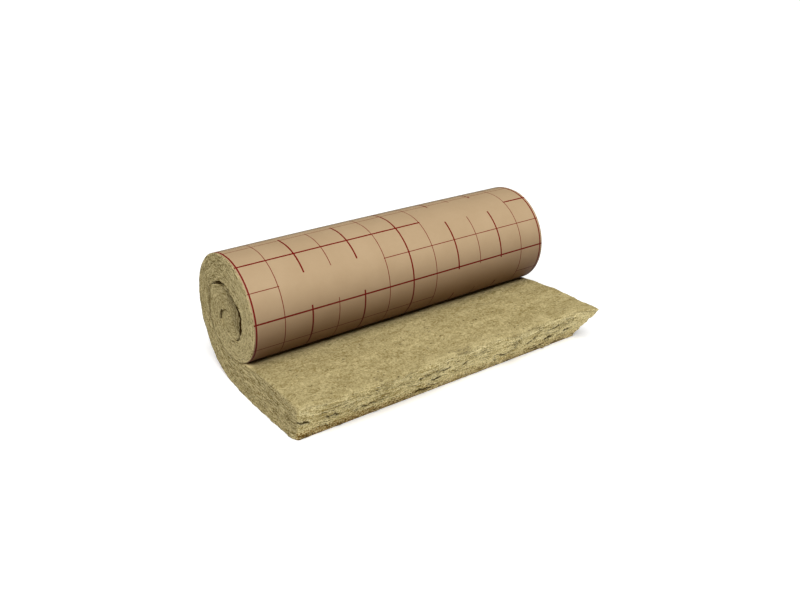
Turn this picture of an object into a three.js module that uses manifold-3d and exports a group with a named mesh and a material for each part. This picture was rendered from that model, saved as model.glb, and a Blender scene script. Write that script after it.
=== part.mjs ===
// A length of stone-wool insulation mat with a kraft paper facing. One end is rolled up with
// the facing outside, and the free end lies flat on the floor with the wool upward.
// Millimetres, +Z up. X runs along the roll, and -Y points out of the roll along the free end.
// The origin is on the floor, at mid-width, under the centre of the front half turns.

import * as THREE from "three";
import { mergeVertices } from "three/addons/utils/BufferGeometryUtils.js";
import Module from "manifold-3d";

const wasm = await Module();
wasm.setup();

// Mat
const matWidth = 1200; // wool and facing alike, the width that such rolls are sold in
const freeThickness = 138; // where nothing presses on the wool
const outerTurnThickness = 101.5; // wool and facing together, squeezed in the outer turn
const innerTurnThickness = 87; // the same in the turns round the core

// Facing
const facingThickness = 0.6; // kraft paper with its backing film
const bondGap = 0.3; // the adhesive between the facing and its own wool
const turnGap = 0.3; // between the facing and the wool of the next turn out

// Winding, as half circles that join at the top and bottom of the roll
const rollRadius = 229.5; // of the outermost half turn, at the back
const backShift = 13; // how far the centres of the back half turns lie behind the front ones
const outerHalfTurns = 2; // half turns that are spaced by outerTurnThickness
const wholeHalfTurns = 4;
const coreEndAngle = -15; // where the facing stops on the last half turn, in degrees
const boreWidth = 10; // of the slit that is left open beside the mat's inner end

// Free end
const freeReach = 397; // from the origin to the facing's free edge
const endOverhang = 56; // how far the wool's upper edge leans out past the facing
const riseReach = 330; // from the origin to where the wool has its free thickness again
const riseBow = 220; // reach of the control point that shapes this rise
const riseBowHeight = 134;
const contactReach = 66; // from the origin to where the roll touches the wool below it

// Torn corner, at the +X end of the wool's upper edge
const cornerOverhang = 27; // past the rest of the upper edge
const cornerWidth = 110;

const facetAngle = 3.75; // between points on a round stretch, in degrees
const curveSteps = 12; // along the rise of the free end
const cutterMargin = 50; // how far the cutter runs past what it cuts

const facingLayer = facingThickness + bondGap;

// The half circles that the facing's outer side follows, from the outside in. Back ones run
// upward through +Y and front ones run downward through -Y.
function windHalfTurns() {
  const halfTurns = [];
  let radius = rollRadius;
  let startHeight = 0;
  for (let index = 0; index <= wholeHalfTurns; index += 1) {
    const goesUp = index % 2 === 0;
    const rise = goesUp ? radius : -radius;
    halfTurns.push({
      centre: new THREE.Vector2(goesUp ? backShift : 0, startHeight + rise),
      radius,
      startAngle: goesUp ? -90 : 90,
    });
    startHeight += 2 * rise;
    const spacing = index < outerHalfTurns ? outerTurnThickness : innerTurnThickness;
    radius -= spacing / 2;
  }
  return halfTurns;
}

// Points on a circle, at whole multiples of the facet angle and at both ends.
function arcPoints(centre, radius, fromAngle, toAngle) {
  const angles = [fromAngle];
  const firstStep = Math.floor(fromAngle / facetAngle) + 1;
  for (let step = firstStep; step * facetAngle < toAngle; step += 1) {
    angles.push(step * facetAngle);
  }
  angles.push(toAngle);
  return angles.map((degrees) => {
    const angle = THREE.MathUtils.degToRad(degrees);
    const spoke = new THREE.Vector2(Math.cos(angle), Math.sin(angle));
    return spoke.multiplyScalar(radius).add(centre);
  });
}

// One half turn, or its first part, at a distance outward from the facing's outer side.
function halfTurnPoints(halfTurn, outward, sweep = 180) {
  const { centre, radius, startAngle } = halfTurn;
  return arcPoints(centre, radius + outward, startAngle, startAngle + sweep);
}

// The whole winding from the outside in, as far as the facing's inner end.
function windingPoints(halfTurns, outward) {
  const wholeTurns = halfTurns.slice(0, wholeHalfTurns);
  const coreTurn = halfTurns[wholeHalfTurns];
  const coreSweep = coreEndAngle - coreTurn.startAngle;
  return [
    ...wholeTurns.flatMap((halfTurn) => halfTurnPoints(halfTurn, outward)),
    ...halfTurnPoints(coreTurn, outward, coreSweep),
  ];
}

function facingOutline(halfTurns) {
  const outside = [new THREE.Vector2(-freeReach, 0), ...windingPoints(halfTurns, 0)];
  const inside = [
    new THREE.Vector2(-freeReach, facingThickness),
    ...windingPoints(halfTurns, -facingThickness),
  ];
  return [...outside, ...inside.reverse()];
}

// The mat's inner end. Its wool fills the last half turn, and the slit beside it is what is
// left of the roll's bore.
function coreOutline(coreTurn) {
  const { centre, radius } = coreTurn;
  const endFace = arcPoints(centre, radius - facingLayer, coreEndAngle, 90);
  const boreCentre = centre.clone().add(new THREE.Vector2(boreWidth, 0));
  const boreWall = arcPoints(boreCentre, radius + turnGap, -90, 90);
  return [...endFace, ...boreWall.reverse()];
}

// The upper side of the free end, from where the roll touches it out to its edge.
function freeTopPoints(halfTurns) {
  const { centre, radius } = halfTurns[1];
  const contactRadius = radius + turnGap;
  const contactDrop = Math.sqrt(contactRadius ** 2 - contactReach ** 2);
  const contact = new THREE.Vector2(-contactReach, centre.y - contactDrop);
  const bow = new THREE.Vector2(-riseBow, riseBowHeight);
  const riseEnd = new THREE.Vector2(-riseReach, freeThickness);
  const rise = new THREE.QuadraticBezierCurve(contact, bow, riseEnd).getPoints(curveSteps);
  const edgeReach = freeReach + endOverhang + cornerOverhang;
  return [...rise.slice(1), new THREE.Vector2(-edgeReach, freeThickness)];
}

function woolOutline(halfTurns) {
  const [, frontTurn, ...innerTurns] = halfTurns.slice(0, wholeHalfTurns);
  const coreTurn = halfTurns[wholeHalfTurns];
  const contactAngle = 180 + THREE.MathUtils.radToDeg(
    Math.acos(contactReach / (frontTurn.radius + turnGap)),
  );
  const underRoll = arcPoints(frontTurn.centre, frontTurn.radius + turnGap, contactAngle, 270);
  const innerSide = innerTurns.flatMap((halfTurn) => halfTurnPoints(halfTurn, turnGap));
  return [
    new THREE.Vector2(-freeReach, facingLayer),
    ...windingPoints(halfTurns, -facingLayer),
    ...coreOutline(coreTurn),
    ...innerSide.reverse(),
    ...underRoll.reverse(),
    ...freeTopPoints(halfTurns),
  ];
}

// Extrudes an outline in the Y-Z plane along X, centred on the origin.
function extrudeAlongRoll(outline, width) {
  const shape = new THREE.Shape(outline);
  const geometry = new THREE.ExtrudeGeometry(shape, { depth: width, bevelEnabled: false });
  const backward = new THREE.Vector3(0, 1, 0);
  const upward = new THREE.Vector3(0, 0, 1);
  const along = new THREE.Vector3(1, 0, 0);
  geometry.translate(0, 0, -width / 2);
  geometry.applyMatrix4(new THREE.Matrix4().makeBasis(backward, upward, along));
  return geometry;
}

function toManifold(geometry) {
  const bare = geometry.clone();
  bare.deleteAttribute("normal");
  bare.deleteAttribute("uv");
  const merged = mergeVertices(bare);
  return new wasm.Manifold(new wasm.Mesh({
    numProp: 3,
    vertProperties: new Float32Array(merged.attributes.position.array),
    triVerts: new Uint32Array(merged.index.array),
  }));
}

function toGeometry(manifold) {
  const mesh = manifold.getMesh();
  const geometry = new THREE.BufferGeometry();
  geometry.setAttribute("position", new THREE.BufferAttribute(mesh.vertProperties, 3));
  geometry.setIndex(new THREE.BufferAttribute(mesh.triVerts, 1));
  geometry.computeVertexNormals();
  return geometry;
}

// What the straight cut takes off the free end. Only the torn corner at +X is left standing.
function endCutter() {
  const edge = -(freeReach + endOverhang);
  const farEnd = matWidth / 2;
  const beyond = edge - cornerOverhang - cutterMargin;
  const cornerSlope = cornerOverhang / cornerWidth;
  const shape = new THREE.Shape([
    new THREE.Vector2(-farEnd - cutterMargin, edge),
    new THREE.Vector2(-farEnd - cutterMargin, beyond),
    new THREE.Vector2(farEnd + cutterMargin, beyond),
    new THREE.Vector2(farEnd + cutterMargin, edge - cornerOverhang - cornerSlope * cutterMargin),
    new THREE.Vector2(farEnd - cornerWidth, edge),
  ]);
  const height = freeThickness + 2 * cutterMargin;
  const geometry = new THREE.ExtrudeGeometry(shape, { depth: height, bevelEnabled: false });
  geometry.translate(0, 0, -height + cutterMargin);
  const lean = new THREE.Matrix4().makeShear(0, 0, 0, 0, 0, -endOverhang / freeThickness);
  geometry.applyMatrix4(lean);
  geometry.translate(0, 0, freeThickness);
  return geometry;
}

const halfTurns = windHalfTurns();

const woolMaterial = new THREE.MeshStandardMaterial({
  color: 0xa3945f,
  roughness: 1,
  metalness: 0,
});
const uncutWool = toManifold(extrudeAlongRoll(woolOutline(halfTurns), matWidth));
const woolMat = new THREE.Mesh(
  toGeometry(uncutWool.subtract(toManifold(endCutter()))),
  woolMaterial,
);
woolMat.name = "wool_mat";

const kraftMaterial = new THREE.MeshStandardMaterial({
  color: 0xc09c75,
  roughness: 0.55,
  metalness: 0,
});
const kraftFacing = new THREE.Mesh(
  extrudeAlongRoll(facingOutline(halfTurns), matWidth),
  kraftMaterial,
);
kraftFacing.name = "kraft_facing";

const insulationRoll = new THREE.Group();
insulationRoll.add(woolMat, kraftFacing);

export default insulationRoll;
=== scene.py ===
import math
from functools import partial

import bpy
import numpy as np
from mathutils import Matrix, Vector


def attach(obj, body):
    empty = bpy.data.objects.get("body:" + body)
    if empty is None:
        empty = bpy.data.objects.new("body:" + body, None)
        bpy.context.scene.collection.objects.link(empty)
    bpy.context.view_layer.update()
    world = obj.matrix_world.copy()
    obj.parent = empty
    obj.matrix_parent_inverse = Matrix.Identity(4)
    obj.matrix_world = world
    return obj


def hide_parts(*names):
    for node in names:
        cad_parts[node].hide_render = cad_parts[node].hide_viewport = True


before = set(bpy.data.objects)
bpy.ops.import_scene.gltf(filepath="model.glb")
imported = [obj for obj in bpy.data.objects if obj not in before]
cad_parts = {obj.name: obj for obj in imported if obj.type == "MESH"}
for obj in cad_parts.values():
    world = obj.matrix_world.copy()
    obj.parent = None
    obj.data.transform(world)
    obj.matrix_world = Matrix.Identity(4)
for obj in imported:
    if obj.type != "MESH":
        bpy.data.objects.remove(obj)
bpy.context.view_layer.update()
print("frame loaded")

# The winding, in metres, as the CAD solids have it. Half circles join at the top and bottom of
# the roll, the back ones centred behind the front ones.
winding = {
    "rollRadius": 0.2295,
    "backShift": 0.013,
    "outerTurnThickness": 0.1015,
    "innerTurnThickness": 0.087,
    "outerHalfTurns": 2,
    "wholeHalfTurns": 4,
    "coreEndAngle": -15.0,  # where the facing stops on the last half turn, in degrees
    "lowerEdge": 0.397,  # from the origin to the facing's free edge
    "halfWidth": 0.6,
    "swell": 0.014,  # how much thicker the roll is at mid-width than at its ends, as a share
    "swellFrom": (0.25, 0.40),  # the heights between which that comes in
    "axisHeight": 0.280,
}


def windHalfTurns():
    halfTurns = []
    radius, height = winding["rollRadius"], 0.0
    for index in range(winding["wholeHalfTurns"] + 1):
        goesUp = index % 2 == 0
        rise = radius if goesUp else -radius
        centre = np.array([winding["backShift"] if goesUp else 0.0, height + rise])
        halfTurns.append((centre, radius, -90.0 if goesUp else 90.0))
        height += 2 * rise
        isOuter = index < winding["outerHalfTurns"]
        radius -= winding["outerTurnThickness" if isOuter else "innerTurnThickness"] / 2
    return halfTurns


halfTurns = windHalfTurns()


def arc(centre, radius, fromAngle, toAngle, count, stretch=1.0):
    angles = np.radians(np.linspace(fromAngle, toAngle, count + 1))
    return centre + radius * np.column_stack([stretch * np.cos(angles), np.sin(angles)])


def line(start, end, count):
    share = np.linspace(0, 1, count + 1)[:, None]
    return np.array(start) * (1 - share) + np.array(end) * share


def lengthAlong(points):
    steps = np.linalg.norm(np.diff(points, axis=0), axis=1)
    return np.concatenate([[0.0], np.cumsum(steps)])


def resampled(points, shares):
    along = lengthAlong(points)
    at = np.asarray(shares) * along[-1]
    return np.column_stack([np.interp(at, along, column) for column in points.T])


def smoothStep(low, high, value):
    share = np.clip((value - low) / (high - low), 0, 1)
    return share * share * (3 - 2 * share)


# A sum of waves, each as its size, its speed and its start
def waves(x, parts):
    total = 0.0
    for size, speed, start in parts:
        total = total + size * np.sin(x * speed + start)
    return total


def srgb(hexColour):
    channels = [int(hexColour[i:i + 2], 16) / 255 for i in (1, 3, 5)]
    linear = [c / 12.92 if c <= 0.04045 else ((c + 0.055) / 1.055) ** 2.4 for c in channels]
    return (*linear, 1.0)


# Kinds of node that come back often, each as a type and its settings
plus, minus, times, timesPlus, over, greatest, least, whole, fraction, toAndFro = (
    ("ShaderNodeMath", {"operation": name}) for name in (
        "ADD", "SUBTRACT", "MULTIPLY", "MULTIPLY_ADD", "DIVIDE",
        "MAXIMUM", "MINIMUM", "FLOOR", "FRACT", "PINGPONG"))
isBelow, isAbove, isNear = (
    ("ShaderNodeMath", {"operation": name}) for name in ("LESS_THAN", "GREATER_THAN", "COMPARE"))
stretched = ("ShaderNodeVectorMath", {"operation": "MULTIPLY"})
eased = ("ShaderNodeMapRange", {"interpolation_type": "SMOOTHSTEP"})
mixed = ("ShaderNodeMix", {"data_type": "FLOAT"})
tinted = ("ShaderNodeMix", {"data_type": "RGBA"})
noise = ("ShaderNodeTexNoise", {"noise_dimensions": "3D"})
split = ("ShaderNodeSeparateXYZ", {})


# Adds one node. Inputs are values, sockets or nodes, in the order of the sockets in use or in one
# dictionary by name, and a node stands for its first output in use.
def addNode(tree, kind, *inputs, **settings):
    kind, shared = (kind, {}) if isinstance(kind, str) else kind
    node = tree.nodes.new(kind)
    for name, value in {**shared, **settings}.items():
        setattr(node, name, value)
    pairs = zip([socket for socket in node.inputs if socket.enabled], inputs)
    if inputs and isinstance(inputs[0], dict):
        pairs = [(node.inputs[name], value) for name, value in inputs[0].items()]
    for socket, value in pairs:
        if isinstance(value, bpy.types.Node):
            value = next(output for output in value.outputs if output.enabled)
        if isinstance(value, bpy.types.NodeSocket):
            tree.links.new(value, socket)
        else:
            socket.default_value = value
    return node


def newMaterial(name):
    material = bpy.data.materials.new(name)
    material.use_nodes = True
    material.node_tree.nodes.clear()
    return material, partial(addNode, material.node_tree)


def newTree(name, inputs):
    tree = bpy.data.node_groups.new(name, "GeometryNodeTree")
    tree.interface.new_socket("Geometry", in_out="INPUT", socket_type="NodeSocketGeometry")
    for inputName, socketType in inputs.items():
        tree.interface.new_socket(inputName, in_out="INPUT", socket_type="NodeSocket" + socketType)
    tree.interface.new_socket("Geometry", in_out="OUTPUT", socket_type="NodeSocketGeometry")
    return tree


# Ends a tree: a real mesh with smooth shading and its finish
def finishTree(add, geometry, finish):
    real = add("GeometryNodeRealizeInstances", geometry)
    smooth = add("GeometryNodeSetShadeSmooth", {"Geometry": real, "Shade Smooth": True})
    finished = add("GeometryNodeSetMaterial", {"Geometry": smooth, "Material": finish})
    add("NodeGroupOutput", finished)


# Runs a tree on an object and leaves its result as a plain mesh object of that name.
def bakeTree(thing, tree, values, name):
    modifier = thing.modifiers.new("tree", "NODES")
    modifier.node_group = tree
    for item in tree.interface.items_tree:
        if item.in_out == "INPUT" and item.name in values:
            modifier[item.identifier] = values[item.name]
    bpy.context.view_layer.update()
    evaluated = thing.evaluated_get(bpy.context.evaluated_depsgraph_get())
    mesh = bpy.data.meshes.new_from_object(evaluated)
    mesh.name = name
    bpy.data.objects.remove(thing)
    made = bpy.data.objects.new(name, mesh)
    bpy.context.scene.collection.objects.link(made)
    return made


# The near end isn't wound evenly: its turns are pushed about in the plane of the end, less and
# less with depth, and the outer turn has come away from the next one. Each push is a place, a
# move and a reach, in metres.
nearEnd = {
    "depth": 0.16,
    "pushes": [
        ((-0.034, 0.345), (0.010, -0.022), 0.026),
        ((-0.062, 0.330), (0.006, -0.006), 0.026),
        ((0.118, 0.312), (0.016, 0.012), 0.034),
        ((0.141, 0.235), (0.020, 0.000), 0.050),
        ((0.110, 0.150), (0.012, -0.008), 0.040),
        ((-0.040, 0.198), (-0.004, -0.012), 0.032),
    ],
    "crackFrom": (50, 80),  # where it opens on the back half turn, in degrees
    "crackTo": (236, 262),  # and where it closes on the front one
    "crackWidth": 0.003,
    "crackDepth": 0.06,
    "crackRipple": (0.72, 0.45),  # its usual width as a share, and how much waves add or take off
    "crackWaves": [(0.5, 0.31, 1.0), (0.3, 0.73, 0), (0.2, 0.117, 0)],  # in radians per degree
    "inset": 0.003,  # how far the wool inside the crack lies back, at its deepest
    "insetAtStart": 0.25,
    "insetFrom": (70, 110),
    "insetTo": (205, 250),
    "insetReach": 0.062,
    "paperInset": 0.026,  # how much further back the facing's edge lies there
    "paperHaste": 3,  # and how many times sooner than the wool it gets there
    "slitReach": 0.003,  # how far back from the face slits are still opened
    "slitDepth": 0.0015,
    "slitStretch": 0.36,  # how high a slit gapes for how wide
    "slitSide": (0.75, 1.25),  # where its side starts and ends, as shares of its gape
    "bulgeDepth": 0.05,
    "bulgeHeight": (0.05, 0.12),  # the heights between which the bulge of the lower edge ends
}


def pushNearEnd(points):
    depth = np.clip(points[:, 0] + winding["halfWidth"], 0, None)
    fade = np.exp(-(depth / nearEnd["depth"]) ** 2)
    moved = points.copy()
    for (y, z), (moveY, moveZ), reach in nearEnd["pushes"]:
        away = np.hypot(points[:, 1] - y, points[:, 2] - z)
        share = fade * np.exp(-(away / reach) ** 2)
        moved[:, 1] += moveY * share
        moved[:, 2] += moveZ * share
    return moved


# How wide the crack is at each angle of a half turn, as a share: back half turns, then front ones.
def crackShare(angles, isBack):
    if isBack:
        share = smoothStep(*nearEnd["crackFrom"], angles)
    else:
        share = 1 - smoothStep(*nearEnd["crackTo"], angles)
    middle, swing = nearEnd["crackRipple"]
    return share * (middle + swing * waves(angles, nearEnd["crackWaves"]))


# How far back the wool inside the crack lies, in the same way.
def insetShare(angles, isBack):
    if isBack:
        start = nearEnd["insetAtStart"]
        return start + (1 - start) * smoothStep(*nearEnd["insetFrom"], angles)
    return 1 - smoothStep(*nearEnd["insetTo"], angles)


# Seams and slits on the near end, as lines of y and z, with half the height of each and how dark the
# shade painted into it is. They gape wider sideways.
endSlits = [
    ([(0.057, 0.258), (0.062, 0.252), (0.066, 0.246), (0.069, 0.238), (0.071, 0.230), (0.070, 0.223)],
     0.0018, 0.9),
    ([(0.106, 0.336), (0.081, 0.346)], 0.0022, 0.75),
    ([(0.081, 0.347), (0.068, 0.352), (0.049, 0.359), (0.043, 0.360)], 0.0030, 1.0),
    ([(0.043, 0.358), (0.041, 0.352), (0.036, 0.346), (0.029, 0.343), (0.022, 0.342), (0.013, 0.341)],
     0.0022, 0.45),
    ([(0.013, 0.341), (-0.006, 0.346), (-0.016, 0.347)], 0.0020, 0.6),
    ([(-0.016, 0.347), (-0.024, 0.341), (-0.032, 0.337), (-0.039, 0.329), (-0.049, 0.323),
      (-0.057, 0.317), (-0.061, 0.309)], 0.0022, 0.75),
    ([(-0.061, 0.309), (-0.069, 0.302), (-0.076, 0.301), (-0.075, 0.292), (-0.079, 0.286),
      (-0.080, 0.280)], 0.0044, 1.0),
    ([(-0.080, 0.280), (-0.084, 0.274), (-0.083, 0.268)], 0.0022, 0.55),
    ([(-0.080, 0.266), (-0.075, 0.250), (-0.078, 0.245), (-0.078, 0.242), (-0.073, 0.235),
      (-0.070, 0.224)], 0.0044, 1.0),
    ([(-0.067, 0.216), (-0.059, 0.202), (-0.050, 0.194)], 0.0024, 0.55),
    ([(-0.022, 0.176), (-0.011, 0.171)], 0.0020, 0.4),
    ([(0.149, 0.303), (0.156, 0.273), (0.161, 0.244), (0.162, 0.216), (0.162, 0.188), (0.152, 0.163),
      (0.137, 0.141), (0.100, 0.124), (0.064, 0.106), (0.026, 0.100), (-0.011, 0.093)], 0.0022, 0.38),
]


# Stone wool mat

woolMat = {
    "frontStep": 0.005,  # mesh steps along the free end, along the turns and across the width
    "turnStep": 0.008,
    "widthStep": 0.005,
    "layers": 56,  # mesh steps through the mat
    "crowding": 0.38,  # how much closer together they lie towards both sides, as a share
    "flatSteps": 30,  # of the open side, where it is flat, where it rises and under the roll
    "riseSteps": 40,
    "contactSteps": 16,
    "edgeShares": (0, 0.12, 0.26, 0.42, 0.6, 0.8, 1.0),  # mesh columns on the rounded ends
    "coarseFirst": (2, 5, 9, 15),  # hidden sides have few columns: these past the near end's,
    "coarseEven": 6,  # and then so many even ones
    "facingGap": 0.0006,
    "freeThickness": 0.138,
    "upperEdge": 0.455,
    "contactReach": 0.084,
    "riseReach": 0.330,
    "riseBow": (0.160, 0.136),
    "boreWidth": 0.008,
    "freeLength": 0.41,  # along the mat, where the free end and the outer turn end
    "innerFrom": 1.55,
    "endRound": 0.007,
    "cornerRound": 0.014,  # at the near front corner
    "topRound": 0.036,  # along the front edge
    "sideRound": 0.018,  # along the free end's sides
    "seamRound": 0.003,
    "lowRound": 0.0015,  # beside the facing
    "frontRound": 0.020,
    "nearFrontRound": 0.006,  # added to that at the near corner
    "seamFade": (0.12, 0.05),  # before the turns, where the sides' rounding gives way to the seams'
    "topFade": (0.01, 0.06),  # along the mat, where the front edge's rounding ends
    "topRipple": [(0.3, 23, 1), (0.2, 61, 0)],
    "cornerFade": (0.02, 0.10),
    "sharpness": 0.75,  # how much less rounded the torn corner is
    "sharpAcross": (0.50, 0.59),
    "tipSharpness": 0.6,  # and its tip
    "tipAcross": (0.56, 0.59),
    "slitReach": 0.012,  # how far behind the cut front slits are still opened
    "slitEdge": (0.7, 1.3),  # where the side of a slit starts and ends, as shares of its gape
    "slitWaver": [(0.0022, 190, 0), (0.0013, 410, 2)],  # how their lines waver
    "tornDepth": 0.024,  # how far the lower layers lie back at the torn corner
    "tornAcross": (0.50, 0.60),
    "tornAlong": (0.10, 0.35),
    "tornWave": (0.2, 22),  # size and speed of the wave in that, from the top down
    "farInset": 0.006,  # of the roll's far end, inside the facing's edge
    "farAcross": (0.56, 0.60),
    "farAlong": (0.40, 0.46),
    "edgeFade": 0.11,  # along the mat, where the unevenness of the upper edge ends
    "reliefFade": (0.105, 0.08),  # before the turns, where the flat top's relief ends
    "layerDepth": 0.011,
    "layerSpacing": 0.0105,
    "gapDepth": 0.003,
    "clumpDepth": 0.010,
    "clumpSize": 0.05,
    "pitDepth": 0.004,
    "frayedRelief": 0.45,  # how strongly layers stand out in the top's frayed strip
    "tornClumps": (0.22, 0.5, 1.0, 2.2),  # from where to where across, and how rough at each
}


# Facing side and open side of the mat at each station along it, from the free edge inward.
def matStations():
    gap, shift = woolMat["facingGap"], winding["backShift"]
    (c1, r1, _), (c2, r2, _), (c3, r3, _), (c4, r4, _), (c5, r5, _) = halfTurns
    steps = round((winding["lowerEdge"] + shift) / woolMat["frontStep"])
    reach = woolMat["contactReach"]
    contact = np.array([-reach, c2[1] - math.sqrt((r2 + gap) ** 2 - reach ** 2)])
    bow = np.array([-woolMat["riseBow"][0], woolMat["riseBow"][1]])
    riseEnd = np.array([-woolMat["riseReach"], woolMat["freeThickness"]])
    share = np.linspace(0, 1, woolMat["riseSteps"] + 1)[:, None]
    rise = riseEnd * (1 - share) ** 2 + 2 * bow * share * (1 - share) + contact * share ** 2
    contactAngle = 180 + math.degrees(math.acos(reach / (r2 + gap)))
    openSide = np.vstack([
        line((-woolMat["upperEdge"], woolMat["freeThickness"]), riseEnd, woolMat["flatSteps"])[:-1],
        rise[:-1],
        arc(c2, r2 + gap, contactAngle, 270, woolMat["contactSteps"]),
        [[shift, c2[1] - r2 - gap]],
    ])
    outer = [line((-winding["lowerEdge"], gap), (shift, gap), steps)]
    inner = [resampled(openSide, np.linspace(0, 1, steps + 1))]
    pivot = c5 + np.array([0, r5])
    counts = [round(math.pi * r / woolMat["turnStep"]) for r in (r1, r2, r3, r4, r5)]
    boreStretch = 1 + woolMat["boreWidth"] / r5
    outer += [
        arc(c1, r1 - gap, -90, 90, counts[0])[1:],
        arc(c2, r2 - gap, 90, 270, counts[1]),
        arc(c3, r3 - gap, -90, 90, counts[2]),
        arc(c4, r4 - gap, 90, 270, counts[3]),
        arc(c5, r5 - gap, -90, 90, counts[4]),
    ]
    inner += [
        arc(c3, r3 + gap, -90, 90, counts[0])[1:],
        arc(c4, r4 + gap, 90, 270, counts[1]),
        arc(c5, r5 + gap, -90, 90, counts[2], boreStretch),
        np.repeat(pivot[None], counts[3] + 1, axis=0),
        np.repeat(pivot[None], counts[4] + 1, axis=0),
    ]
    # the crack opens between the outer turn's open side and the next turn's facing side
    none = [np.zeros(len(part)) for part in outer]
    back = crackShare(np.linspace(-90, 90, counts[0] + 1)[1:], True)
    front = crackShare(np.linspace(90, 270, counts[1] + 1), False)
    nextBack = crackShare(np.linspace(-90, 90, counts[2] + 1), True)
    nextFront = crackShare(np.linspace(90, 270, counts[3] + 1), False)
    openCrack = np.concatenate([none[0], back, front, none[3], none[4], none[5]])
    facingCrack = np.concatenate([none[0], none[1], none[2], nextBack, nextFront, none[5]])
    insetBack = nextBack * insetShare(np.linspace(-90, 90, counts[2] + 1), True)
    insetFront = insetShare(np.linspace(90, 270, counts[3] + 1), False)
    insets = np.concatenate([none[0], none[1], none[2], insetBack, insetFront, none[5]])
    ends = np.cumsum([len(part) for part in outer])
    return np.vstack(outer), np.vstack(inner), ends - 1, openCrack, facingCrack, insets


facingSide, openSide, partEnds, openCrack, facingCrack, insets = matStations()
along = lengthAlong((facingSide + openSide) / 2)
thickness = np.linalg.norm(openSide - facingSide, axis=1)
freeEnd, foldStart, lastStation = partEnds[0], partEnds[3] + 1, len(along) - 1


# Sample places across the width and through the mat, closer together at the edges.
def samples():
    half, edge = winding["halfWidth"], woolMat["endRound"]
    nearSide = -half + edge * np.array(woolMat["edgeShares"])
    flat = np.linspace(-half + edge, half - edge, round(2 * half / woolMat["widthStep"]))
    across = np.concatenate([nearSide, flat[1:-1], -nearSide[::-1]])
    ends = list(range(0, len(nearSide), 2))
    coarse = ends + [len(nearSide) + n for n in woolMat["coarseFirst"]]
    flat = np.linspace(coarse[-1], len(across) - len(nearSide), woolMat["coarseEven"] + 2)
    coarse += [round(i) for i in flat[1:-1]] + [len(across) - 1 - i for i in ends[::-1]]
    even = np.linspace(0, 1, woolMat["layers"] + 1)
    crowded = 0.5 - 0.5 * np.cos(math.pi * even)
    through = (1 - woolMat["crowding"]) * even + woolMat["crowding"] * crowded
    return across, coarse, through


across, coarse, through = samples()
lastAcross, lastThrough = len(across) - 1, len(through) - 1


# One vertex for each lattice place (station, across, through) on the mat's surface.
class Lattice:
    def __init__(self):
        self.index, self.places, self.faces = {}, [], []

    def vertex(self, i, j, k):
        if i >= foldStart and k == lastThrough or i == lastStation:
            i, k = foldStart, lastThrough
        key = (i, j, k)
        if key not in self.index:
            self.index[key] = len(self.places)
            self.places.append(key)
        return self.index[key]

    def addFace(self, corners):
        kept = list(dict.fromkeys(corners))
        if len(kept) > 2:
            self.faces.append(kept)

    def addGrid(self, rows, columns, place, flip=False):
        for a, b in zip(rows[:-1], rows[1:]):
            for c, d in zip(columns[:-1], columns[1:]):
                quad = [self.vertex(*place(*at)) for at in ((a, c), (b, c), (b, d), (a, d))]
                self.addFace(quad[::-1] if flip else quad)

    # Joins a row with every sample to one with only the coarse samples.
    def addSeam(self, place, fineRow, coarseRow, flip=False):
        for c, d in zip(coarse[:-1], coarse[1:]):
            fan = [self.vertex(*place(fineRow, j)) for j in range(c, d + 1)]
            low, high = self.vertex(*place(coarseRow, c)), self.vertex(*place(coarseRow, d))
            middle = len(fan) // 2
            triangles = [(low, fan[n + 1], fan[n]) for n in range(middle)]
            triangles += [(high, fan[n + 1], fan[n]) for n in range(middle, len(fan) - 1)]
            triangles.append((low, high, fan[middle]))
            for triangle in triangles:
                self.addFace(triangle[::-1] if flip else list(triangle))


def buildLattice():
    lattice = Lattice()
    everyAcross = list(range(len(across)))
    everyThrough = list(range(len(through)))
    stations = list(range(len(along)))

    def onOpenSide(i, j):
        return i, j, lastThrough

    def onFacingSide(i, j):
        return i, j, 0

    lattice.addGrid(stations, everyThrough, lambda i, k: (i, 0, k))
    lattice.addGrid(stations, everyThrough, lambda i, k: (i, lastAcross, k), flip=True)
    lattice.addGrid(everyThrough, everyAcross, lambda k, j: (0, j, k))
    lattice.addGrid(stations[:freeEnd + 1], everyAcross, onOpenSide)
    lattice.addSeam(onOpenSide, freeEnd, freeEnd + 1)
    lattice.addGrid(stations[freeEnd + 1:foldStart + 1], coarse, onOpenSide)
    lattice.addSeam(onFacingSide, 0, 1, flip=True)
    lattice.addGrid(stations[1:], coarse, onFacingSide, flip=True)
    return lattice


lattice = buildLattice()
places = np.array(lattice.places)
print("lattice", len(places), "vertices", sum(len(f) - 2 for f in lattice.faces), "triangles")


# Slits that open in the cut front, as start and end places: across the width, and share of the
# thickness. Then how far each gapes and how deep it goes.
frontSlits = [
    ((-0.600, 0.52), (-0.557, 0.44), 0.0033, 0.0060),
    ((-0.496, 0.47), (-0.460, 0.43), 0.0032, 0.0054),
    ((-0.372, 0.37), (-0.280, 0.40), 0.0030, 0.0060),
    ((-0.162, 0.61), (-0.089, 0.69), 0.0030, 0.0048),
    ((-0.066, 0.60), (-0.038, 0.60), 0.0030, 0.0036),
    ((-0.154, 0.19), (-0.098, 0.12), 0.0039, 0.0060),
    ((-0.102, 0.38), (-0.069, 0.38), 0.0027, 0.0030),
    ((0.020, 0.50), (0.036, 0.60), 0.0030, 0.0036),
    ((0.193, 0.36), (0.238, 0.37), 0.0029, 0.0036),
    ((0.322, 0.40), (0.352, 0.58), 0.0033, 0.0048),
    ((0.374, 0.14), (0.410, 0.18), 0.0039, 0.0054),
    ((0.409, 0.33), (0.437, 0.36), 0.0045, 0.0072),
    ((0.411, 0.64), (0.448, 0.70), 0.0033, 0.0048),
    ((0.499, 0.42), (0.524, 0.41), 0.0042, 0.0054),
]
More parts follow.
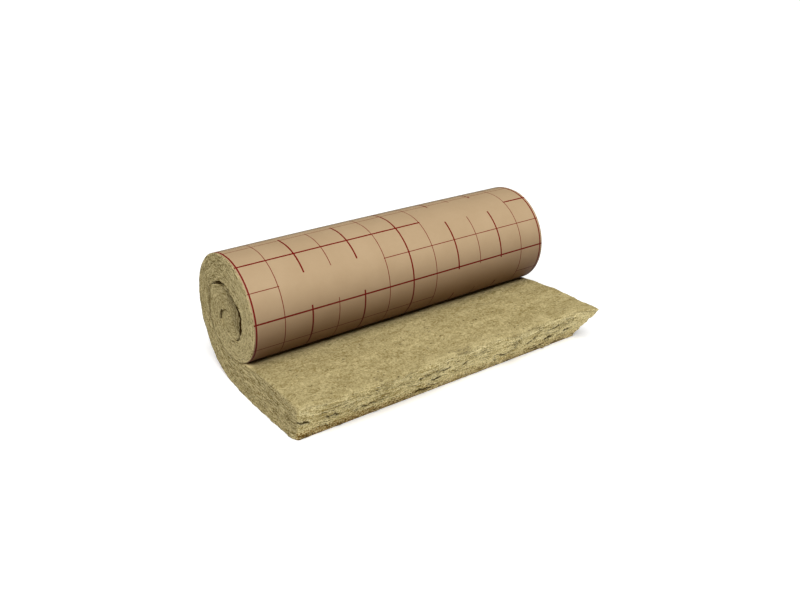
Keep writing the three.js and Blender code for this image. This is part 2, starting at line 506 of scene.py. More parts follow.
# How far the upper front edge stands out from a straight line, at places across the width.
upperEdgeReach = [
    (-0.60, -0.018), (-0.56, -0.019), (-0.53, -0.009), (-0.45, 0.001), (-0.26, 0.009),
    (-0.10, 0.003), (0.07, -0.005), (0.16, -0.004), (0.226, 0.018), (0.30, 0.003),
    (0.34, -0.002), (0.53, 0.001), (0.57, 0.010), (0.60, 0.034),
]


# How far the near end's lower edge stands out, at places along the mat.
nearEdgeReach = [
    (0, -0.007), (0.021, -0.006), (0.035, -0.004), (0.060, -0.001), (0.088, 0.001),
    (0.115, -0.002), (0.144, 0.003), (0.187, 0.004), (0.228, 0.004), (0.273, 0.006),
    (0.320, 0.006), (0.420, 0.003), (0.500, 0.002), (0.600, 0),
]


# Here and below, s is a place along the mat, x one across it and w one through it.
def bulgeNearEnd(x, s, w):
    fade = np.exp(-((x + winding["halfWidth"]) / nearEnd["bulgeDepth"]) ** 2)
    fade = fade * (1 - smoothStep(*nearEnd["bulgeHeight"], w))
    return x - fade * np.interp(s, *np.array(nearEdgeReach).T)


# How far the lowest layer, and the facing under it, lie back at the torn corner
def tornBack(x, s):
    atCorner = smoothStep(*woolMat["tornAcross"], x) * (1 - smoothStep(*woolMat["tornAlong"], s))
    return woolMat["tornDepth"] * atCorner


def nearness(distance, radius):
    return np.clip(1 - distance / radius, 0, 1)


def segmentDistance(x, h, start, end):
    run = np.array(end) - np.array(start)
    share = np.clip(((x - start[0]) * run[0] + (h - start[1]) * run[1]) / (run @ run), 0, 1)
    return np.hypot(x - start[0] - share * run[0], h - start[1] - share * run[1])


# How far the mat is rounded at its top, lower, end and front edges, at places along and across it
def edgeRounds(s, x):
    seamStart, seamEnd = (along[freeEnd] - before for before in woolMat["seamFade"])
    free = 1 - smoothStep(seamStart, seamEnd, s)
    atFront = 1 - smoothStep(*woolMat["topFade"], s)
    top = woolMat["seamRound"] + (woolMat["sideRound"] - woolMat["seamRound"]) * free
    top = top + (woolMat["topRound"] * (1 + waves(x, woolMat["topRipple"])) - top) * atFront
    sharper = 1 - woolMat["sharpness"] * smoothStep(*woolMat["sharpAcross"], x)
    atTip = atFront * smoothStep(*woolMat["tipAcross"], x)
    top = top * sharper * (1 - woolMat["tipSharpness"] * atTip)
    end = woolMat["endRound"] * np.where(free > 0.5, sharper, 1)
    corner = (1 - smoothStep(*woolMat["cornerFade"], s)) * (x < 0)
    end = end + (woolMat["cornerRound"] - woolMat["endRound"]) * corner
    isNearSide = x < woolMat["cornerRound"] - winding["halfWidth"]
    front = woolMat["frontRound"] * sharper + woolMat["nearFrontRound"] * isNearSide
    return top, woolMat["lowRound"], end, front


# Slits run inward from the cut front, on a wavering line, and each gives a share of painted shade.
def openFrontSlits(s, x, share):
    thick = woolMat["freeThickness"]
    slit = np.zeros(len(s))
    isFront = np.minimum(1, 2 * nearness(s, woolMat["slitReach"]))
    height = share * thick + waves(x, woolMat["slitWaver"])
    for (startX, startShare), (endX, endShare), gape, depth in frontSlits:
        away = segmentDistance(x, height, (startX, startShare * thick), (endX, endShare * thick))
        sideStart, sideEnd = (edge * gape for edge in woolMat["slitEdge"])
        opening = isFront * (1 - smoothStep(sideStart, sideEnd, away))
        s = s + depth * opening
        slit = np.maximum(slit, opening)
    return s, slit


# Rounds the edges of the mat in its own unrolled space, then lays it along the winding.
def matShape():
    i, j, k = places.T
    s, x, total = along[i].copy(), across[j].copy(), thickness[i]
    w = through[k] * total
    half = winding["halfWidth"]
    topRound, lowRound, endRound, frontRound = edgeRounds(s, x)
    top = np.where(i >= foldStart, 0, nearness(total - w, topRound))
    bottom = nearness(w, lowRound)
    end = nearness(half - np.abs(x), endRound)
    front = nearness(s, frontRound)
    size = np.sqrt(top ** 2 + bottom ** 2 + end ** 2 + front ** 2)
    shrink = np.where(size > 1, 1 / np.maximum(size, 1), 1)
    w = np.where(top > 0, total - topRound * (1 - top * shrink), w)
    w = np.where(bottom > 0, lowRound * (1 - bottom * shrink), w)
    x = np.where(end > 0, np.sign(x) * (half - endRound * (1 - end * shrink)), x)
    s = np.where(front > 0, frontRound * (1 - front * shrink), s)
    share = w / np.maximum(total, 1e-9)
    s, slit = openFrontSlits(s, x, share)
    # the crack at the near end
    depth = np.clip(x + half, 0, None)
    fade = np.exp(-(depth / nearEnd["crackDepth"]) ** 2)
    deep = insets[i] * np.exp(-(w / nearEnd["insetReach"]) ** 4) * fade
    opened = facingCrack[i] * (1 - share) ** 2 - openCrack[i] * share ** 2
    w = w + nearEnd["crackWidth"] * fade * opened
    x = x + nearEnd["inset"] * deep
    share = w / np.maximum(total, 1e-9)
    # the torn corner, the near end's bulge and the far end's inset
    drop = 1 - share
    size, speed = woolMat["tornWave"]
    x = x - tornBack(x, s) * (drop ** 1.5 + size * drop * np.sin(speed * drop))
    x = bulgeNearEnd(x, s, w)
    atFarEnd = smoothStep(*woolMat["farAcross"], x) * smoothStep(*woolMat["farAlong"], s)
    x = x - woolMat["farInset"] * atFarEnd
    lower = np.column_stack([np.interp(s, along, column) for column in facingSide.T])
    upper = np.column_stack([np.interp(s, along, column) for column in openSide.T])
    section = lower * (1 - share[:, None]) + upper * share[:, None]
    edge = np.interp(x, *np.array(upperEdgeReach).T)
    section[:, 0] -= edge * np.clip(1 - s / woolMat["edgeFade"], 0, 1) ** 2 * share
    cut = np.maximum(end, front)
    isTop = (k == lastThrough) & (i <= freeEnd)
    fadeStart, fadeEnd = (along[freeEnd] - before for before in woolMat["reliefFade"])
    openTop = isTop * (1 - smoothStep(fadeStart, fadeEnd, along[i]))
    shares = {
        "cut": cut * shrink,
        "front": front * shrink,
        "loose": np.maximum(openTop, cut),
        "slit": slit,
        "hem": bottom,
        # how far the wool lies back in the crack, where the finish also paints shade
        "deep": deep,
    }
    placesInMat = np.column_stack([along[i], across[j], through[k] * total])
    return np.column_stack([x, section]), placesInMat, shares


# Opens the seams and slits of the near end, once it is pushed about, and paints shade into them.
def openEndSlits(points, shares):
    moved = points.copy()
    onEnd = shares["cut"] * (matPlaces[:, 1] < nearEnd["slitReach"] - winding["halfWidth"])
    stretch = nearEnd["slitStretch"]
    for path, gape, darkness in endSlits:
        away = np.full(len(points), 1.0)
        narrowed = [(stretch * y, z) for y, z in path]
        for start, end in zip(narrowed[:-1], narrowed[1:]):
            fromPart = segmentDistance(stretch * points[:, 1], points[:, 2], start, end)
            away = np.minimum(away, fromPart)
        sideStart, sideEnd = (edge * gape for edge in nearEnd["slitSide"])
        opening = onEnd * (1 - smoothStep(sideStart, sideEnd, away))
        moved[:, 0] += nearEnd["slitDepth"] * opening
        shares["slit"] = np.maximum(shares["slit"], darkness * opening)
    return moved


# The roll is a little thicker at mid-width than at its ends.
def swell(points):
    share = np.clip(1 - (points[:, 0] / winding["halfWidth"]) ** 2, 0, 1)
    grown = 1 + winding["swell"] * share * smoothStep(*winding["swellFrom"], points[:, 2])
    axis = np.array([0, 0, winding["axisHeight"]])
    return axis + (points - axis) * np.column_stack([np.ones(len(points)), grown, grown])


matPoints, matPlaces, matShares = matShape()
matPoints = swell(openEndSlits(pushNearEnd(matPoints), matShares))


def addAttribute(mesh, name, kind, values):
    attribute = mesh.attributes.new(name, kind, "POINT")
    field = "vector" if kind == "FLOAT_VECTOR" else "value"
    attribute.data.foreach_set(field, np.ascontiguousarray(values, np.float32).ravel())


def meshObject(name, points, faces):
    mesh = bpy.data.meshes.new(name)
    mesh.from_pydata([tuple(p) for p in points], [], faces)
    mesh.update()
    thing = bpy.data.objects.new(name, mesh)
    bpy.context.scene.collection.objects.link(thing)
    return thing


woolBlank = meshObject("wool_blank", matPoints, lattice.faces)
addAttribute(woolBlank.data, "matPlace", "FLOAT_VECTOR", matPlaces)
for shareName, shares in matShares.items():
    addAttribute(woolBlank.data, shareName, "FLOAT", shares)


# Stone wool: spun rock fibres with a little resin, laid in layers and cut. It gives no gloss at
# all, a mottled olive tan, thin dark gaps between layers on the cut faces and pits on the flat.
woolFinish = {
    # noise for the layers: steps per metre along and across, and through the mat per metre or per
    # layer, then detail and roughness
    "layerWander": ((7, 7, 9), 3.0, 0.5),  # waves of 140 mm
    "layerStand": ((14.0, 11.0, 7.3), 3.0, 0.6),  # how far a layer stands out
    "layerApart": ((18.0, 15.0, 3.7), 2.0, 0.5),  # and where there is a gap beside it
    "wanderLayers": 5.0,  # how many layers a wave moves them by
    "gapChance": (0.52, 0.62),
    "gapReach": (0.20, 0.02),  # to both sides of a border, as a share of the layer
    # how strongly layers show
    "woundStrength": (0.62, 0.40),  # at the start of the turns and half a metre on
    "innerStrength": 0.45,
    "tornStrength": (0.50, 0.57, 1.0, 0.45),  # from where to where across, and how much at each
    "innerBorder": (woolMat["innerFrom"] - 0.05, woolMat["innerFrom"] + 0.05),
    "spotSize": 0.028,  # of the pits in the top
    "pitNarrowing": 1.6,  # along the mat
    "pitChance": (0.70, 1.0),
    "pitReach": 0.22,
    "pitEdge": (1.0, 0.4),
    # the frayed strip of the top along the front edge
    "frayedNoise": ((20, 9, 20), 4.0, 0.6),  # 50 by 110 mm
    "frayedDepth": 0.09,
    "frayedReach": 0.050,  # how far the frayed layers reach onto the top
    "frayedAtCorner": (0.40, 0.60, 0.0, 0.06),  # and how much further towards the torn corner
    "frayedEdge": (0.045, 0.020),
    # the finish's noise: steps per metre along, across and through the mat, then detail and
    # roughness, and for the swirls also lacunarity and distortion
    "patterns": {
        "blotch": ((26, 13, 26), 5.0, 0.62),  # 40 by 75 mm
        "tuft": ((60, 34, 60), 4.0, 0.7, 2.0, 1.6),  # swirls, 17 by 30 mm
        "chunk": ((75, 75, 75), 1.0, 0.5),  # 13 mm
        "crumb": ((150, 150, 150), 2.0, 0.65),  # 7 mm
        "grain": ((250, 250, 250), 1.0, 0.6),  # 4 mm, as real fibres are too fine to show
        "speck": ((110, 60, 110), 1.0, 0.5),  # 9 by 17 mm
        "endFibre": ((26, 90, 150), 3.0, 0.75),  # 40 by 7 mm, coarse enough to show
        "endBundle": ((28, 90, 72), 3.0, 0.65),  # 36 by 14 mm
        "frontFibre": ((90, 22, 190), 3.0, 0.65),  # 45 by 5 mm, coarse enough to show
    },
    # for each face its two colours, what is mixed into its shade, and the shades that are fully
    # dark and fully light
    "top": {
        "dark": "#918050",
        "light": "#d1c18e",
        "mixed": {"blotch": 0.18, "tuft": 0.36, "crumb": 0.28, "grain": 0.18},
        "shades": (0.38, 0.62),
    },
    "end": {
        "dark": "#7a6a3f",
        "light": "#cdbd8d",
        "mixed": {
            "stand": 0.06, "endFibre": 0.44, "endBundle": 0.03,
            "chunk": 0.02, "crumb": 0.27, "grain": 0.18,
        },
        "shades": (0.43, 0.57),
    },
    "front": {
        "dark": "#9c8850",
        "light": "#f5e6b0",
        "mixed": {"stand": 0.24, "frontFibre": 0.28, "crumb": 0.30, "grain": 0.18},
        "shades": (0.42, 0.575),
    },
    "faceBorder": (0.45, 0.9),  # where a rounded edge turns from one face to the next
    # shade that is added: from where to where, and how much at each
    "frontAcross": [(-0.35, 0.0, -0.006, 0.011), (0.45, 0.57, 0.0, 0.013)],
    "frayedAcross": (0.40, 0.55, 0.01, -0.012),
    "outerTurnAlong": (0.95, 1.15, 0.0, 0.022),
    "outerTurnEnd": (woolMat["innerFrom"], woolMat["innerFrom"] - 0.1),
    "endLift": 0.006,
    "innerCalm": 0.3,  # the share of the pattern that the inner turns lack
    "hem": "#b6a07e",  # a browner strip low on the cut front, next to the facing
    "hemHeight": (0.058, 0.051),
    "hemRagged": (0.030, 0.016),  # how far swirls and crumbs move its upper edge
    "hemCrumb": (0.42, 0.58, 1.0, 0.3),
    "hemAcross": (-0.32, -0.12, 1.0, 0.5),
    # the colour of the painted shade in gaps, pits, slits, the crack and beside the roll, and of the
    # dark specks
    "shade": "#2e1c03",
    "gapShade": 0.9,
    "pitShade": 0.25,
    "pitCrumb": (0.46, 0.56),  # crumbs break up the pits and the frayed strip
    "frayedCrumb": (0.47, 0.57),
    "speckShade": 0.65,
    "speckChance": (0.70, 0.75),
    "speckOnCut": 0.5,
    "speckInHem": 0.06,
    "paintedCrackShade": (0.35, 0.65, 0.55, 0.30),  # painted shade inside the open crack: how dark it is, as crumbs vary it
    "waviness": 0.05,
    "paintedRollShade": (0.14, 0.24),  # along the mat, where shade from the roll is painted on
    "paintedRollShadeEnd": (0.300, 0.270),
    "paintedRollShadeDark": 0.11,
    "paintedLightAlong": (0.292, 0.320),  # and where painted light lifts the roll's shadow on the wool
    "paintedLightColour": "#ecd9a0",
    "paintedLightShare": 0.75,
    "paintedLightAbove": 0.03,
    "bumpStrength": 0.8,
    "bumpDepth": 0.006,
    "darkDepth": 0.4,  # how far dark spots are sunk, as a share of that
}


# The mat's layers, from a place in the mat: how far the layer there stands out, and the thin gaps
# between layers. The relief and the finish both use it, so their gaps fall together.
def layerNodes(add, place, spacing):
    s, x, w = add(split, place).outputs
    perMetre, *rest = woolFinish["layerWander"]
    wander = add(noise, add(stretched, place, perMetre), 1.0, *rest)
    level = add(plus, add(over, w, spacing), add(times, wander, woolFinish["wanderLayers"]))
    inLayer = add("ShaderNodeCombineXYZ", s, x, add(whole, level))
    chances = []
    for steps, *rest in (woolFinish["layerStand"], woolFinish["layerApart"]):
        chances.append(add(noise, add(stretched, inLayer, steps), 1.0, *rest))
    stand, apart = chances
    above = add(fraction, level)
    border = add(least, above, add(minus, 1.0, above))
    atBorder = add(eased, border, *woolFinish["gapReach"])
    return stand, add(times, atBorder, add(eased, apart, *woolFinish["gapChance"]))


# Pits in the felted top, longer across the mat than along it
def pitNodes(add, place, size):
    perPit = add(over, 1.0, size)
    scales = add("ShaderNodeCombineXYZ", add(over, woolFinish["pitNarrowing"], size), perPit, perPit)
    cells = add("ShaderNodeTexVoronoi", add(stretched, place, scales), 1.0, feature="F1").outputs
    isPit = add(eased, add(split, cells["Color"]), *woolFinish["pitChance"])
    reach = add(timesPlus, isPit, woolFinish["pitReach"], 0.001)
    return add(eased, add(over, cells["Distance"], reach), *woolFinish["pitEdge"])


# How strongly the layers show: fully on the cut front, less on the ends and at the torn corner,
# least round the core
def layerStrength(add, place, front):
    s, x, _ = add(split, place).outputs
    start = woolMat["freeLength"]
    wound = add(eased, s, start, start + 0.5, *woolFinish["woundStrength"])
    inner = add(eased, s, *woolFinish["innerBorder"], 1.0, woolFinish["innerStrength"])
    strength = add(mixed, front, add(times, wound, inner), 1.0)
    return add(times, strength, add(eased, x, *woolFinish["tornStrength"]))


# The frayed strip of the top along the front edge, with a ragged border
def fringeNodes(add, place):
    s, x, _ = add(split, place).outputs
    perMetre, *rest = woolFinish["frayedNoise"]
    ragged = add(noise, add(stretched, place, perMetre), 1.0, *rest)
    ragged = add(timesPlus, ragged, woolFinish["frayedDepth"], s)
    reach = add(plus, add(eased, x, *woolFinish["frayedAtCorner"]), woolFinish["frayedReach"])
    return add(eased, add(minus, ragged, reach), *woolFinish["frayedEdge"])


# What all parts of the wool's finish work from: the mesh's own shares, the place in the mat and
# the patterns there
def woolValues(add):
    wool = {}
    for name in ("cut", "front", "slit", "deep"):
        wool[name] = add("ShaderNodeAttribute", attribute_name=name).outputs["Fac"]
    for name in ("cut", "front"):
        wool[name] = add(eased, wool[name], *woolFinish["faceBorder"])
    wool["uncut"] = add(minus, 1.0, wool["cut"])
    place = add("ShaderNodeAttribute", attribute_name="matPlace").outputs["Vector"]
    wool["along"], wool["across"], wool["through"] = add(split, place).outputs
    for name, (perMetre, *rest) in woolFinish["patterns"].items():
        wool[name] = add(noise, add(stretched, place, perMetre), 1.0, *rest)
    wool["strength"] = layerStrength(add, place, wool["front"])
    stand, wool["gap"] = layerNodes(add, place, woolMat["layerSpacing"])
    wool["stand"] = add(mixed, wool["strength"], 0.5, stand)
    wool["pit"] = add(times, pitNodes(add, place, woolFinish["spotSize"]), wool["uncut"])
    wool["frayed"] = add(times, fringeNodes(add, place), wool["uncut"])
    # a wavy place along the mat, for what starts or ends at one
    wave = add(minus, wool["tuft"], 0.5)
    wool["wavy"] = add(timesPlus, wave, woolFinish["waviness"], wool["along"])
    return wool


# How light each face is, between its dark and its light colour
def woolShades(add, wool):
    shades = {}
    for face in ("top", "end", "front"):
        shades[face] = 0.0
        for name, share in woolFinish[face]["mixed"].items():
            shades[face] = add(timesPlus, wool[name], share, shades[face])
    for change in woolFinish["frontAcross"]:
        shades["front"] = add(plus, shades["front"], add(eased, wool["across"], *change))
    # the inner turns are calmer, and the front of the outer turn is paler than the rest
    calm = add(eased, wool["along"], *woolFinish["innerBorder"], 0.0, woolFinish["innerCalm"])
    paler = add(eased, wool["along"], *woolFinish["outerTurnAlong"])
    isOuter = add(eased, wool["along"], *woolFinish["outerTurnEnd"])
    paler = add(timesPlus, paler, isOuter, woolFinish["endLift"])
    shades["end"] = add(plus, add(mixed, calm, shades["end"], 0.5), paler)
    return shades


# The colour of each face, before anything darkens it
def woolColour(add, wool, shades):
    lighter = add(eased, wool["across"], *woolFinish["frayedAcross"])
    onTop = add(mixed, wool["frayed"], shades["top"], add(plus, shades["front"], lighter))
    colours = []
    for face, shade in (("top", onTop), ("end", shades["end"]), ("front", shades["front"])):
        dark, light = srgb(woolFinish[face]["dark"]), srgb(woolFinish[face]["light"])
        share = add(eased, shade, *woolFinish[face]["shades"])
        colours.append(add(tinted, share, dark, light))
    top, end, front = colours
    return add(tinted, wool["cut"], top, add(tinted, wool["front"], end, front))


# The lowest layer of the cut front, with a ragged upper edge
def hemNodes(add, wool):
    bySwirl, byCrumb = woolFinish["hemRagged"]
    height = add(timesPlus, wool["crumb"], byCrumb, wool["through"])
    height = add(timesPlus, wool["tuft"], bySwirl, height)
    return add(times, add(eased, height, *woolFinish["hemHeight"]), wool["front"])


# How dark the wool is: painted shade in its gaps, pits, slits and crack and beside the roll, and its
# own dark specks
def darkNodes(add, wool, hem):
    crumbs = {name: add(eased, wool["crumb"], *woolFinish[name])
              for name in ("pitCrumb", "frayedCrumb", "paintedCrackShade")}
    shown = add(greatest, wool["cut"], add(times, wool["frayed"], crumbs["frayedCrumb"]))
    gap = add(times, wool["gap"], add(times, shown, wool["strength"]))
    pit = add(times, wool["pit"], crumbs["pitCrumb"])
    # specks are all over, and most are in the lowest layer
    more = add(greatest, hem, add(times, wool["cut"], woolFinish["speckOnCut"]))
    chance = add(timesPlus, more, woolFinish["speckInHem"], wool["speck"])
    speck = add(eased, chance, *woolFinish["speckChance"])
    # painted shade on the wool beside the roll, where the roll shades it
    paintedRollShade = add(eased, wool["wavy"], *woolFinish["paintedRollShade"])
    paintedRollShade = add(times, paintedRollShade, add(eased, wool["wavy"], *woolFinish["paintedRollShadeEnd"]))
    paintedRollShade = add(times, paintedRollShade, wool["uncut"])
    dark = wool["slit"]
    for spot, shade in ((gap, woolFinish["gapShade"]), (pit, woolFinish["pitShade"]),
                        (speck, woolFinish["speckShade"]), (paintedRollShade, woolFinish["paintedRollShadeDark"]),
                        (wool["deep"], crumbs["paintedCrackShade"])):
        dark = add(greatest, dark, add(times, spot, shade))
    return dark


# Painted light: a paler strip on the wool beside the roll, which lifts the roll's shadow there
def paintedLightNodes(add, wool):
    start = add(eased, wool["wavy"], *woolFinish["paintedLightAlong"])
    isFree = add(isBelow, wool["wavy"], woolMat["freeLength"])
    isHigh = add(isAbove, wool["through"], woolFinish["paintedLightAbove"])
    share = woolFinish["paintedLightShare"]
    for factor in (start, isFree, isHigh, wool["uncut"]):
        share = add(times, share, factor)
    return share


def woolMaterial():
    material, add = newMaterial("stone wool, bonded fibre")
    wool = woolValues(add)
    shades = woolShades(add, wool)
    colour = woolColour(add, wool, shades)
    hem = hemNodes(add, wool)
    browned = add(times, hem, add(eased, wool["crumb"], *woolFinish["hemCrumb"]))
    browned = add(times, browned, add(eased, wool["across"], *woolFinish["hemAcross"]))
    brown = add(stretched, colour, srgb(woolFinish["hem"])[:3])
    dark = darkNodes(add, wool, hem)
    colour = add(tinted, browned, colour, brown)
    colour = add(tinted, dark, colour, srgb(woolFinish["shade"]))
    # painted light beside the roll
    colour = add(tinted, paintedLightNodes(add, wool), colour, srgb(woolFinish["paintedLightColour"]))
    height = add(mixed, wool["front"], shades["end"], shades["front"])
    height = add(mixed, wool["cut"], shades["top"], height)
    height = add(minus, height, add(times, dark, woolFinish["darkDepth"]))
    bump = add("ShaderNodeBump", {
        "Strength": woolFinish["bumpStrength"], "Distance": woolFinish["bumpDepth"], "Height": height})
    shader = add("ShaderNodeBsdfPrincipled", {
        "Base Color": colour, "Roughness": 1.0, "Specular IOR Level": 0.0, "Normal": bump})
    add("ShaderNodeOutputMaterial", shader)
    return material


def woolReliefTree():
    tree = newTree("wool relief", {
        "Layer depth": "Float", "Layer spacing": "Float", "Gap depth": "Float", "Clump depth": "Float",
        "Clump size": "Float", "Pit depth": "Float", "Pit size": "Float", "Finish": "Material"})
    add = partial(addNode, tree)
    given = add("NodeGroupInput").outputs
    share = {name: add("GeometryNodeInputNamedAttribute", name)
             for name in ("cut", "front", "loose", "hem", "slit")}
    place = add("GeometryNodeInputNamedAttribute", "matPlace", data_type="FLOAT_VECTOR")
    # layers stand out by chance, and the gaps between them are cut in
    layered = add(times, fringeNodes(add, place), woolMat["frayedRelief"])
    layered = add(greatest, share["cut"], layered)
    strength = add(times, layered, layerStrength(add, place, share["front"]))
    stand, gap = layerNodes(add, place, given["Layer spacing"])
    stand = add(times, add(minus, stand, 0.5), given["Layer depth"])
    layers = add(minus, stand, add(times, gap, given["Gap depth"]))
    layers = add(times, layers, strength)
    # clumps, and more of them towards the torn end
    perMetre = add(over, 1.0, given["Clump size"])
    clump = add(noise, add(stretched, place, perMetre), 1.0, 4.0, 0.6)
    _, x, _ = add(split, place).outputs
    torn = add(times, add(eased, x, *woolMat["tornClumps"]), given["Clump depth"])
    depth = add(mixed, share["cut"], given["Clump depth"], torn)
    clumps = add(times, add(minus, clump, 0.5), depth)
    pits = add(times, pitNodes(add, place, given["Pit size"]), given["Pit depth"])
    pits = add(times, pits, add(minus, 1.0, share["cut"]))
    total = add(minus, add(plus, layers, clumps), pits)
    # nothing moves beside the facing and in the slits
    still = add(greatest, share["hem"], share["slit"])
    total = add(times, total, add(times, share["loose"], add(minus, 1.0, still)))
    offset = add("ShaderNodeVectorMath", add("GeometryNodeInputNormal"), total, operation="SCALE")
    moved = add("ShaderNodeVectorMath", add("GeometryNodeInputPosition"), offset, operation="ADD")
    lowest = (-10, -10, woolMat["facingGap"])  # only the height is limited
    moved = add("ShaderNodeVectorMath", moved, lowest, operation="MAXIMUM")
    rough = add("GeometryNodeSetPosition", {"Geometry": given["Geometry"], "Position": moved})
    finishTree(add, rough, given["Finish"])
    return tree


woolPiece = bakeTree(woolBlank, woolReliefTree(), {
    "Layer depth": woolMat["layerDepth"], "Layer spacing": woolMat["layerSpacing"],
    "Gap depth": woolMat["gapDepth"], "Clump depth": woolMat["clumpDepth"],
    "Clump size": woolMat["clumpSize"], "Pit depth": woolMat["pitDepth"],
    "Pit size": woolFinish["spotSize"], "Finish": woolMaterial()}, "wool_mat_fibres")
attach(woolPiece, "root")
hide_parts("wool_mat")
print("wool mat made,", len(woolPiece.data.vertices), "vertices")

# Kraft facing

facing = {
    "thickness": 0.00035,
    "step": 0.008,  # mesh steps along the winding and across it
    "columns": 81,
    "flatSteps": 20,  # of the path, flat and on each half turn
    "roundSteps": 90,
    "nearEdge": -0.5975,  # its near side edge lies a little inside the wool's
    "farEdge": 0.600,
    "farColumn": 0.001,  # how far the last column but one lies from the far edge
    "cut": (1.1975, 2.46),  # flat, before it is rolled up
    "paperDark": "#b89c78",
    "paperLight": "#c9ae8a",
    "ink": "#7a0c04",
    "pulpPerMetre": (9, 9, 9),  # clouds of 110 mm
    # painted shade for the paper seen at a glancing angle
    "rim": "#4f463a",
    "rimFrom": (0.77, 0.97),  # how far the surface faces away, from 0 to 1
    "rimShare": 0.62,
    # painted shade, darkening the paper low on the roll where it turns down to the wool
    "paintedLowShade": "#998681",
    "paintedLowShadeFrom": (1.29, 1.58),  # from where to where along the facing that painted shade comes in
}
# The print, in metres. Heavy and thin lines take turns both ways, and a line's place is given
# along the facing from its free edge, or across it.
facingPrint = {
    "pitch": 0.09866,
    "heavyAlong": 1.4105,
    "heavyAcross": -0.5908,
    "farShift": 0.0033,  # how far inward the last line lies of where the pitch puts it
    "farShiftFrom": (0.54, 0.58),
    "heavyWidth": 0.0056,
    "thinWidth": 0.0026,
    "blur": 0.0003,  # to both sides of a line's edge
    "panelHeight": 0.106,
    "panelPeriod": 0.288,
    "panelInset": 0.003,
    "panels": [(1.289, -0.4916, -0.0971), (1.131, 0.1002, 0.4947)],
}


# The facing's path, and at each point of it how wide the near end's crack is and how far back the
# wool lies there.
def windingPath():
    flatSteps, roundSteps = facing["flatSteps"], facing["roundSteps"]
    parts = [line((-winding["lowerEdge"], 0), (winding["backShift"], 0), flatSteps)]
    cracks, backs = [np.zeros(flatSteps + 1)], [np.zeros(flatSteps + 1)]
    for index, (centre, radius, start) in enumerate(halfTurns):
        isCore = index == winding["wholeHalfTurns"]
        end = winding["coreEndAngle"] if isCore else start + 180
        skipped = 1 if index == 0 else 0
        parts.append(arc(centre, radius, start, end, roundSteps)[skipped:])
        isCracked = index in (winding["outerHalfTurns"], winding["outerHalfTurns"] + 1)
        angles = np.linspace(start, end, roundSteps + 1)
        shares = crackShare(angles, start < 0) * isCracked
        cracks.append(shares[skipped:])
        reached = shares if start < 0 else isCracked
        backs.append((insetShare(angles, start < 0) * reached)[skipped:])
    return np.vstack(parts), np.concatenate(cracks), np.concatenate(backs)


# The printed lines: heavy and thin ones take turns along the facing and across it, and panels
# between them are left bare.
def printNodes(add, along, across):
    pitch, blur = facingPrint["pitch"], facingPrint["blur"]
    shift = add(eased, across, *facingPrint["farShiftFrom"], 0.0, facingPrint["farShift"])
    across = add(plus, across, shift)
    ink = 0.0
    for value, first in ((along, facingPrint["heavyAlong"]), (across, facingPrint["heavyAcross"])):
        widths = (facingPrint["heavyWidth"], facingPrint["thinWidth"])
        for start, width in zip((first, first + pitch), widths):
            away = add(toAndFro, add(minus, value, start), pitch)
            isLine = add("ShaderNodeMapRange", away, width / 2 + blur, width / 2 - blur)
            ink = add(greatest, ink, isLine)
    period = facingPrint["panelPeriod"]
    for start, left, right in facingPrint["panels"]:
        turns = add(over, add(minus, along, start), period)
        turn = add(fraction, add(plus, turns, 20.0))  # any whole number that keeps it above zero
        inHeight = add(isBelow, turn, facingPrint["panelHeight"] / period)
        middle, reach = (left + right) / 2, (right - left) / 2 - facingPrint["panelInset"]
        bare = add(times, inHeight, add(isNear, across, middle, reach))
        ink = add(times, ink, add(minus, 1.0, bare))
    return ink


# Kraft paper, printed: a smooth brown sheet with almost no gloss and the faint cloud of its pulp.
# The red ink soaks in, so its lines have the paper's own dull surface.
def kraftMaterial():
    material, add = newMaterial("kraft paper, printed")
    spot = add("ShaderNodeTexCoord").outputs["Object"]
    along = add("ShaderNodeAttribute", attribute_name="along").outputs["Fac"]
    ink = printNodes(add, along, add(split, spot))
    pulp = add(noise, add(stretched, spot, facing["pulpPerMetre"]), 1.0, 5.0, 0.6)
    dark, light = srgb(facing["paperDark"]), srgb(facing["paperLight"])
    paper = add(tinted, pulp, dark, light)
    printed = add(tinted, ink, paper, srgb(facing["ink"]))
    # painted shade: the paper grows darker low on the roll, towards the wool
    isLow = add(eased, along, *facing["paintedLowShadeFrom"])
    shaded = add(stretched, printed, add(tinted, isLow, (1, 1, 1, 1), srgb(facing["paintedLowShade"])))
    # painted shade: the paper turns greyer and darker at a glancing angle, along the roll's outline
    facingAway = add("ShaderNodeLayerWeight").outputs["Facing"]
    glance = add(eased, facingAway, *facing["rimFrom"], 0.0, facing["rimShare"])
    colour = add(tinted, glance, shaded, srgb(facing["rim"]))
    shader = add("ShaderNodeBsdfPrincipled", {
        "Base Color": colour, "Roughness": 0.6, "Specular IOR Level": 0.12})
    add("ShaderNodeOutputMaterial", shader)
    return material


def facingTree():
    tree = newTree("facing along winding", {
        "Width": "Float", "Columns": "Int", "Step": "Float", "Finish": "Material"})
    add = partial(addNode, tree)
    given = add("NodeGroupInput").outputs
    path = add("GeometryNodeResampleCurve", {
        "Curve": given["Geometry"], "Length": given["Step"]}, mode="LENGTH")
    distance = add("GeometryNodeSplineParameter").outputs["Length"]
    marked = add("GeometryNodeStoreNamedAttribute", {
        "Geometry": path, "Name": "along", "Value": distance}, data_type="FLOAT", domain="POINT")
    start = add("ShaderNodeCombineXYZ", add(times, given["Width"], 0.5))
    end = add("ShaderNodeCombineXYZ", add(times, given["Width"], -0.5))
    edge = add("GeometryNodeCurvePrimitiveLine", start, end)
    section = add("GeometryNodeResampleCurve", {"Curve": edge, "Count": given["Columns"]})
    sheet = add("GeometryNodeCurveToMesh", {"Curve": marked, "Profile Curve": section})
    finishTree(add, sheet, given["Finish"])
    return tree


